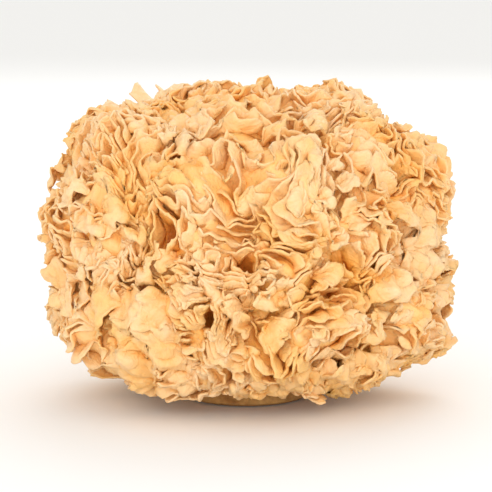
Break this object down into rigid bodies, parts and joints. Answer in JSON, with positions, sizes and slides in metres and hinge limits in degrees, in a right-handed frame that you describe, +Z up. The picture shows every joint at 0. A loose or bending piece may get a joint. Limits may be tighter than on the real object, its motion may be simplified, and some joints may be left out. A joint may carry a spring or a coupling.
{
  "type": "dried snow fungus head",
  "caption": "Dried head of snow fungus: a crinkled, sponge-like dome of thin ruffled cream fronds that fork from a hard brown base cut flat below.",
  "frame": {"origin": "centre of the cut face of the base, which the head rests on", "axes": "+Z up, out of the cut face; +X along the head's wide way; the side seen in the picture faces -Y"},
  "size_m": [0.1041, 0.0924, 0.0788],
  "materials": {
    "frond": "matte",
    "callus": "matte"
  },
  "bodies": {
    "root": {"base": "callus", "crown_frond": "frond", "middle_frond_1": "frond", "middle_frond_2": "frond", "middle_frond_3": "frond", "middle_frond_4": "frond", "middle_frond_5": "frond", "middle_frond_6": "frond", "outer_frond_1": "frond", "outer_frond_2": "frond", "outer_frond_3": "frond", "outer_frond_4": "frond", "outer_frond_5": "frond", "outer_frond_6": "frond", "outer_frond_7": "frond", "outer_frond_8": "frond"}
  },
  "joints": []
}
